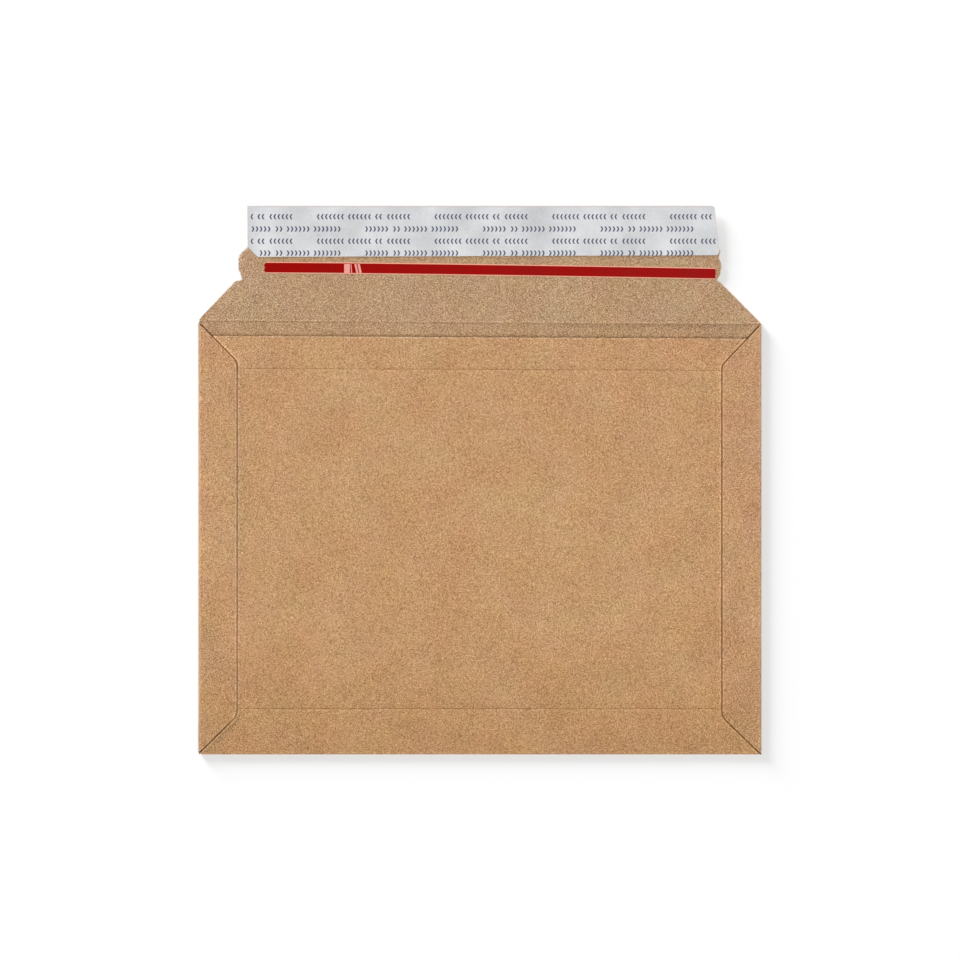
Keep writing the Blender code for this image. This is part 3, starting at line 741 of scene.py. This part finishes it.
def addFront(bm, columns, firstRow):
    # the bottom fold and the front panel up to the mouth
    rows = [firstRow]
    atEdge, onTop = board["cornerSpread"]
    for step in range(1, board["foldSteps"] + 1):
        done = step / board["foldSteps"]
        angle = math.pi * done
        y = foldY - bottomFold * squared(math.sin(angle))
        z = backLevel + bottomFold * (1 - squared(math.cos(angle)))
        spread = atEdge * math.sin(angle) + onTop * done
        row = []
        for x in columns:
            nearSide = max(0, 1 - (foldX - abs(x)) / board["cornerReach"])
            at = math.copysign(abs(x) + spread * nearSide, x)
            groove = pressDepth(x, 0.0) * (2 * done - 1)
            row.append(addVert(bm, Vector((at, y, z - groove)) * mm))
        rows.append(row)
    heights = {foldY + board["foldRow"] + board["frontRow"], *panelRows(mouthY)}
    heights |= {mouthY - down for down in board["mouthRows"]}
    for y in sorted(heights):
        worn = board["mouthWear"] * smoothStep(1 - (mouthY - y) / board["wearWidth"])
        row = []
        for x in columns:
            last = abs(x) > foldX - 0.001
            at = math.copysign(foldX + board["frontPastFold"], x) if last else x
            z = board["frontLevel"] - pressDepth(x, y) + crownHeight(x, y)
            row.append(addVert(bm, Vector((at, y - frontDrop(x, y), z)) * mm, worn))
        rows.append(row)
    addGrid(bm, rows)


def sideFlapPattern(flatWidth):
    # across a side fold and its flap: x, z and the distance in from the fold's edge
    pattern = []
    for step in range(1, board["foldSteps"] + 1):
        angle = math.pi * step / board["foldSteps"]
        x = foldX + sideFold * squared(math.sin(angle))
        z = backLevel + sideFold * (1 - squared(math.cos(angle)))
        pattern.append((x, z, sideFold * (angle - math.pi / 2)))
    for share in board["sideFlapColumns"]:
        depth = sideFold * math.pi / 2 + flatWidth * share
        pattern.append((foldX - flatWidth * share, board["sideLevel"], depth))
    return pattern


def addSideFlap(bm, one, heights, firstColumn):
    halfFold = sideFold * math.pi / 2
    flatWidth = one["reach"] - sideFold - backLevel
    reach = halfFold + flatWidth
    row = board["mitreRow"]
    columns = [firstColumn]
    for x, z, depth in sideFlapPattern(flatWidth):
        risen = smoothStep(1 + depth / halfFold)
        lowStep = mitreEnd(depth, reach, one["lowSlope"], board["bottomRadius"]) - one["lowPast"] * risen
        topStep = mitreEnd(depth, reach, one["topSlope"], board["topRadius"]) - one["topPast"] * risen
        low, top = heights[0] + lowStep, heights[-1] - topStep
        places = [low + (top - low) * (y - heights[0]) / (heights[-1] - heights[0]) for y in heights]
        places[1], places[-2] = low + row, top - row  # a narrow row along each mitre
        column = []
        for y in places:
            edge = min(reach - depth, abs(y - low), abs(top - y))
            worn = board["sideWear"] * smoothStep(1 - edge / board["sideWearWidth"])
            place = Vector((one["side"] * x, y, z)) * mm
            column.append(addVert(bm, place, worn if depth > 0 else 0.0))
        columns.append(column)
    addGrid(bm, columns)


def thicken(piece):
    # gives the folded surface its thickness and softens the cut edges, then applies both
    solid = piece.modifiers.new("thickness", "SOLIDIFY")
    solid.thickness = board["thickness"] * mm
    solid.offset = 0.0
    solid.use_even_offset = True
    solid.material_offset = 1      # the inner ply
    solid.material_offset_rim = 2  # the cut edges
    soften = piece.modifiers.new("soft cut edges", "BEVEL")
    soften.width = board["cutSoftness"] * mm
    soften.segments = 2
    soften.limit_method = "ANGLE"
    soften.angle_limit = math.radians(board["cutAngle"])
    soften.harden_normals = True
    for face in piece.data.polygons:
        face.use_smooth = True
    bpy.context.view_layer.update()
    graph = bpy.context.evaluated_depsgraph_get()
    done = bpy.data.meshes.new_from_object(piece.evaluated_get(graph))
    piece.modifiers.clear()
    piece.data = done


def makeBoard(outerPly, innerPly, cutEdge):
    bm = bmesh.new()
    bm.verts.layers.float.new("wear")
    columns = boardColumns()
    heights, back = addBack(bm, columns)
    addFlap(bm, columns, back[-1])
    addFront(bm, columns, back[0])
    for one in board["sideFlaps"]:
        end = 0 if one["side"] < 0 else -1
        addSideFlap(bm, one, heights[1:], [row[end] for row in back[1:]])
    bmesh.ops.recalc_face_normals(bm, faces=bm.faces)
    bm.faces.ensure_lookup_table()
    if bm.faces[0].normal.z > 0:  # the first face is on the back panel, whose outside is down
        bmesh.ops.reverse_faces(bm, faces=bm.faces)
    piece = finishMesh(bm, "folded_board", outerPly, innerPly, cutEdge)
    thicken(piece)
    # the place of each point at rest, so that patterns stay on the board when it folds
    place = piece.data.attributes.new("restPlace", "FLOAT_VECTOR", "POINT")
    place.data.foreach_set("vector", [c for v in piece.data.vertices for c in v.co])
    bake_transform(piece, "pocket", "flap", start=(0, bandLow * mm, 0), end=(0, bandHigh * mm, 0))
    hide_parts("pocket", "closing_flap")
    return piece


plies = board["look"]
kraftOuter = boardMaterial("kraftBoardOuterPly", plies["outerColour"], outside=True)
greyInner = boardMaterial("kraftBoardInnerPly", plies["innerColour"], plies["innerGrain"])
cutCore = boardMaterial("kraftBoardCutEdge", plies["coreColour"], plies["coreGrain"])
print("stage 2: board materials made")
folded = makeBoard(kraftOuter, greyInner, cutCore)
print("stage 3: board folded,", len(folded.data.polygons), "faces")


# Films, paper and glue share these clouds. Their sizes and the bumps' depth are in mm.
web = {
    "fineSize": 0.35,
    "slowSize": 14.0,
    "toneFrom": (0.6, 1.4),    # what of the clouds' own range is used
    "patchFrom": (0.3, 0.7),
    "glossChange": 0.06,
    "bumpStrength": 0.3,
    "bumpDepth": 0.05,
}


def filmMaterial(name, colour, roughness, ior, specular=0.5, spread=0.05):
    # a thin web with faint clouds, fine ones in its tone and slow ones in its gloss and flatness
    material, add, shader = newMaterial(name)
    place = add("TexCoord").outputs["Object"]
    cloud = {"Vector": place, "Detail": 2}
    fine = add("TexNoise", {**cloud, "Scale": 1 / (web["fineSize"] * mm)}).outputs["Fac"]
    slow = add("TexNoise", {**cloud, "Scale": 1 / (web["slowSize"] * mm)}).outputs["Fac"]
    both = add("Math", fine, slow, operation="ADD")
    tone = add("MapRange", both, *web["toneFrom"], 1 - spread, 1 + spread)
    change = web["glossChange"]
    bump = {"Height": slow, "Strength": web["bumpStrength"], "Distance": web["bumpDepth"] * mm}
    setInputs(shader, {
        "Base Color": add("VectorMath", {0: hexColour(colour)[:3], "Scale": tone}, operation="SCALE"),
        "Roughness": add("MapRange", slow, *web["patchFrom"], roughness - change, roughness + change),
        "Normal": add("Bump", bump),
        "IOR": ior,
        "Specular IOR Level": specular,
    })
    return material


def inkMaterial(name, colour, patchSize, thinnest, thickest, roughness):
    # printed ink lies in uneven patches
    material, add, shader = newMaterial(name)
    place = add("TexCoord").outputs["Object"]
    patchy = add("TexNoise", {"Vector": place, "Scale": 1 / (patchSize * mm), "Detail": 2.0})
    tone = add("MapRange", patchy.outputs["Fac"], *web["patchFrom"], thinnest, thickest)
    setInputs(shader, {
        "Base Color": add("VectorMath", {0: hexColour(colour)[:3], "Scale": tone}, operation="SCALE"),
        "Roughness": roughness,
    })
    return material


def dress(nodeName, material):
    node = frame["nodes"][nodeName]
    for slot in node.material_slots:
        slot.material = material
    return node


# Silicone-coated release paper: calendered, so a cool white with a soft shine.
# Its print is rows of plain chevrons, in dark flexographic ink.
liner = {
    "paper": {"colour": "C9CACC", "roughness": 0.5, "ior": 1.45, "specular": 0.1, "spread": 0.24},
    "ink": {"colour": "2A3654", "patchSize": 0.6, "thinnest": 0.9, "thickest": 1.12, "roughness": 0.5},
    "inkHeights": (1.004, 1.016),
    # height on the plan, way the chevrons point, where the row starts; the low left corner is cut off
    "rows": ((110.1, -1, -96.0), (105.0, 1, -96.0), (99.9, -1, -96.0), (94.95, 1, -92.5)),
    "right": 99.3,             # where the rows end, further in the higher they are
    "rightFrom": 95.0,
    "rightSlope": 0.125,
    "pitch": 49.1,             # one group of runs to the next
    "groups": range(-3, 4),
    "groupLength": 39.3,
    "rightStart": -48.2,       # a group's start in the rows that point right, and left
    "leftStart": -19.2,
    "runs": ((0.0, 6), (11.7, 2), (16.3, 6), (27.6, 7)),  # start in the group, number of chevrons
    "chevronPitch": 1.68,
    "chevronWidth": 1.22,
    "chevronHeight": 2.2,
    "stroke": 0.648,
}


def addChevron(bm, x, y, way):
    across = way * liner["chevronWidth"] / 2
    up = liner["chevronHeight"] / 2
    stroke = way * liner["stroke"]
    back, point = x - across, x + across
    corners = [(back, y + up), (back + stroke, y + up), (point, y)]
    corners += [(back + stroke, y - up), (back, y - up), (point - stroke, y)]
    addPlate(bm, corners if way < 0 else corners[::-1], *liner["inkHeights"])


def makePrint():
    bm = bmesh.new()
    for y, way, leftEnd in liner["rows"]:
        start = liner["rightStart"] if way > 0 else liner["leftStart"]
        rightEnd = liner["right"] - (y - liner["rightFrom"]) * liner["rightSlope"]
        for group in liner["groups"]:
            for runStart, count in liner["runs"]:
                for i in range(count):
                    along = runStart + (i + 0.5) * liner["chevronPitch"]
                    inGroup = along if way > 0 else liner["groupLength"] - along
                    x = start + group * liner["pitch"] + inGroup
                    if leftEnd < x < rightEnd:
                        addChevron(bm, x, y, way)
    finishPlates(bm, "liner_print", inkMaterial("greyFlexoInk", **liner["ink"]))


# Polyester tear tape: red dyed film with a soft gloss, pale bars left of the middle,
# and a pale pink line on each side, a painted highlight of the tape's edges.
tape = {
    "film": {"colour": "900300", "roughness": 0.35, "ior": 1.57, "specular": 0.015, "spread": 0.14},
    "edge": {"colour": "E6A089", "roughness": 0.35, "ior": 1.57, "specular": 0.015},
    "ink": {"colour": "E08A7C", "patchSize": 0.8, "thinnest": 0.8, "thickest": 1.1, "roughness": 0.4},
    "bars": ((-55.55, 2.4, 0.0), (-53.75, 0.35, -0.3), (-51.65, 0.85, -0.9), (-50.3, 1.0, -0.9)),
    "barEnds": (86.5, 90.4),   # each bar is place, width and lean
    "barHeights": (0.834, 0.846),
    "edgeWidth": 0.44,
    "edgeLap": 0.03,           # onto the red film
    "edgeHeights": (0.72, 0.79),
    "leastWidth": 3.8,         # narrower stretches of the film, at its torn ends, have no edge line
}


# pale bars across the film left of the middle
def makeTapeMarks():
    bm = bmesh.new()
    low, high = tape["barEnds"]
    for x, barWidth, lean in tape["bars"]:
        half, shift = barWidth / 2, lean / 2
        corners = [(x - half - shift, low), (x + half - shift, low)]
        corners += [(x + half + shift, high), (x - half + shift, high)]
        addPlate(bm, corners, *tape["barHeights"])
    finishPlates(bm, "tape_marks", inkMaterial("paleTapeBars", **tape["ink"]))


# a pale pink line along each side of the film, a painted highlight of its edges
def makeTapeEdges(film):
    flatten = Matrix.Rotation(-flapLift, 3, "X")
    spots = {}
    for vertex in film.data.vertices:
        place = (flatten @ (film.matrix_world @ vertex.co - hinge) + hinge) / mm
        spots.setdefault(round(place.x, 1), []).append(place.y)
    ends = [(x, min(ys), max(ys)) for x, ys in sorted(spots.items())]
    full = [(x, low, high) for x, low, high in ends if high - low > tape["leastWidth"]]
    bm = bmesh.new()
    for side, outward in ((1, -1), (2, 1)):
        near = [(spot[0], spot[side] - outward * tape["edgeLap"]) for spot in full]
        far = [(x, y + outward * tape["edgeWidth"]) for x, y in near[::-1]]
        addPlate(bm, near + far, *tape["edgeHeights"])
    finishPlates(bm, "tape_edges", filmMaterial("tapeEdgeHighlight", **tape["edge"]))


# Hot-melt glue: clear, yellowish and glossy, hardly seen
glueLook = {"colour": "C9BD9A", "roughness": 0.25, "ior": 1.48}

dress("release_liner", filmMaterial("siliconeReleasePaper", **liner["paper"]))
tearTape = dress("tear_tape", filmMaterial("redPolyesterFilm", **tape["film"]))
hotMelt = filmMaterial("clearHotMelt", **glueLook)
for glued in ("seal_adhesive", "left_seam_glue", "right_seam_glue"):
    dress(glued, hotMelt)
print("stage 4: films and glue dressed")
makePrint()
makeTapeMarks()
makeTapeEdges(tearTape)
print("stage 5: print and tape marks laid")


# White paper sweep: matt and even, overexposed but for the shadow. Lengths are in metres here.
studio = {
    "floorColour": "F0F0F0",
    "floorRoughness": 0.9,
    "floorSpecular": 0.1,
    "floorSize": 4.0,
    "floorDrop": 0.02 * mm,
    "worldStrength": 0.26,
    "overhead": {"place": (0.45, -0.45, 3.0), "size": 0.8, "power": 59.0},
    "key": {"place": (-2.77, 3.3, 1.08), "size": 2.1, "power": 252.0},
    "cameraPlace": (-0.00002, 0.0002, 1.5055),
    "lens": 135.0,             # mm, as is the sensor
    "sensor": 36.0,
}


def addSoftbox(name, place, size, power):
    light = bpy.data.lights.new(name, "AREA")
    light.shape = "DISK"
    light.size = size
    light.energy = power
    lamp = bpy.data.objects.new(name, light)
    lamp.location = place
    lamp.rotation_euler = Vector(place).to_track_quat("Z", "Y").to_euler()
    bpy.context.scene.collection.objects.link(lamp)


def makeStudio():
    scene = bpy.context.scene
    paper, _, shader = newMaterial("whitePaperSweep")
    setInputs(shader, {
        "Base Color": hexColour(studio["floorColour"]),
        "Roughness": studio["floorRoughness"],
        "Specular IOR Level": studio["floorSpecular"],
    })
    bm = bmesh.new()
    bmesh.ops.create_grid(bm, x_segments=1, y_segments=1, size=studio["floorSize"])
    bmesh.ops.translate(bm, verts=bm.verts, vec=(0, 0, -studio["floorDrop"]))
    finishMesh(bm, "paper_sweep", paper)

    scene.world = bpy.data.worlds.new("studio")
    scene.world.use_nodes = True
    background = scene.world.node_tree.nodes["Background"]
    setInputs(background, {"Color": (1, 1, 1, 1), "Strength": studio["worldStrength"]})
    addSoftbox("overhead", **studio["overhead"])
    addSoftbox("key", **studio["key"])

    lens = bpy.data.cameras.new("camera")
    lens.lens = studio["lens"]
    lens.sensor_width = studio["sensor"]
    camera = bpy.data.objects.new("camera", lens)
    camera.location = studio["cameraPlace"]
    scene.collection.objects.link(camera)
    scene.camera = camera
    scene.view_settings.view_transform = "Standard"
    scene.view_settings.look = "None"


makeStudio()
print("stage 6: studio set up")
